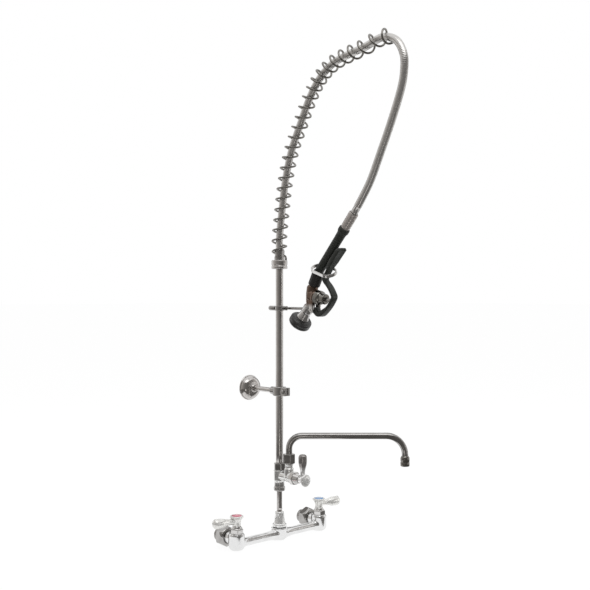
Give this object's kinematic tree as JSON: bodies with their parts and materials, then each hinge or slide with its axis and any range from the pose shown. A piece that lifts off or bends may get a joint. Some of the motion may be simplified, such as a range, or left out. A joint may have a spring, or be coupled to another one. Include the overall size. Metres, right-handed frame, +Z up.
{
  "type": "pre rinse faucet",
  "caption": "Wall-mounted pre-rinse faucet with an add-on swing spout, a riser, a sprung overhead hose and a squeeze spray valve.",
  "frame": {"origin": "midpoint between the back ends of the two inlets, on the line through their centres", "axes": "+Z up along the riser, +Y from the faucet into the wall, +X toward the cold side"},
  "size_m": [0.3158, 0.4036, 0.8973],
  "materials": {
    "chrome": "polished",
    "steel": "satin",
    "brass": "turned",
    "seal_rubber": "matte",
    "hot_red": "gloss",
    "cold_blue": "gloss",
    "plain_index": "polished",
    "spring_wire": "polished",
    "hose_steel": "ribbed",
    "grip_black": "satin",
    "coupling_black": "satin",
    "bumper_rubber": "matte"
  },
  "bodies": {
    "base": {"base_body": "chrome", "inlet_nuts": "chrome", "inlet_tails": "steel", "inlet_washers": "seal_rubber", "valve_bonnets": "chrome", "riser_bell": "chrome", "bell_washer": "seal_rubber", "lower_nipple": "chrome", "addon_body": "chrome", "addon_bonnet": "chrome", "riser_nut": "steel", "riser_pipe": "chrome", "bracket_clamp": "chrome", "bracket_screw": "steel", "bracket_rod": "chrome", "bracket_flange": "chrome", "hook_clamp": "chrome", "hook_rod": "chrome", "hook_cap": "chrome", "hook_screw": "steel", "spout_nut": "chrome"},
    "hot_handle": {"hot_lever": "chrome", "hot_index": "hot_red", "hot_screw": "brass", "hot_stem": "brass"},
    "cold_handle": {"cold_lever": "chrome", "cold_index": "cold_blue", "cold_screw": "brass", "cold_stem": "brass"},
    "addon_handle": {"addon_lever": "chrome", "addon_index": "plain_index", "addon_screw": "brass", "addon_stem": "brass"},
    "spout": {"spout_tube": "chrome", "spout_o_rings": "seal_rubber", "aerator_shell": "chrome", "aerator_screen": "steel"},
    "hose_arch": {"spring_collar": "chrome", "collar_screw": "steel", "hose_sleeve": "steel", "overhead_spring": "spring_wire", "hose": "hose_steel", "hose_ferrule": "chrome", "grip": "grip_black", "grip_coupling": "coupling_black", "valve_body": "chrome", "valve_bonnet": "chrome", "valve_spring": "steel", "spray_bumper": "bumper_rubber", "spray_face": "steel", "face_screws": "steel", "lever_pin": "steel"},
    "squeeze_trigger": {"squeeze_lever": "grip_black"},
    "stem_plunger": {"plunger": "steel"},
    "hold_down_ring": {"hold_ring": "chrome"}
  },
  "joints": [
    {"name": "hot_turn", "type": "hinge", "parent": "base", "child": "hot_handle", "pos_m": [-0.1016, -0.052, 0.03], "axis": [0, 0, 1], "range_deg": [0, 90]},
    {"name": "cold_turn", "type": "hinge", "parent": "base", "child": "cold_handle", "pos_m": [0.1016, -0.052, 0.03], "axis": [0, 0, -1], "range_deg": [0, 90]},
    {"name": "addon_turn", "type": "hinge", "parent": "base", "child": "addon_handle", "pos_m": [0, -0.11, 0.102], "axis": [0, -1, 0], "range_deg": [0, 90]},
    {"name": "spout_swing", "type": "hinge", "parent": "base", "child": "spout", "pos_m": [0, -0.079, 0.14], "axis": [0, 0, 1], "range_deg": [-160, 70]},
    {"name": "arch_swing", "type": "hinge", "parent": "base", "child": "hose_arch", "pos_m": [0, -0.052, 0.5], "axis": [0, 0, -1], "range_deg": [0, 90]},
    {"name": "squeeze", "type": "hinge", "parent": "hose_arch", "child": "squeeze_trigger", "pos_m": [0, -0.14889, 0.41059], "axis": [-1, 0, 0], "range_deg": [0, 3.5], "stiffness_Nm_per_rad": 6, "springref_deg": -1.72},
    {"name": "plunger_slide", "type": "slide", "parent": "hose_arch", "child": "stem_plunger", "axis": [0, 0.9848, 0.1736], "range_m": [0, 0.00185]},
    {"name": "ring_slide", "type": "slide", "parent": "hose_arch", "child": "hold_down_ring", "axis": [0, -0.6626, 0.749], "range_m": [0, 0.022]}
  ],
  "couplings": [
    {"joint": "plunger_slide", "follows": "squeeze", "m_per_rad": 0.0295}
  ]
}
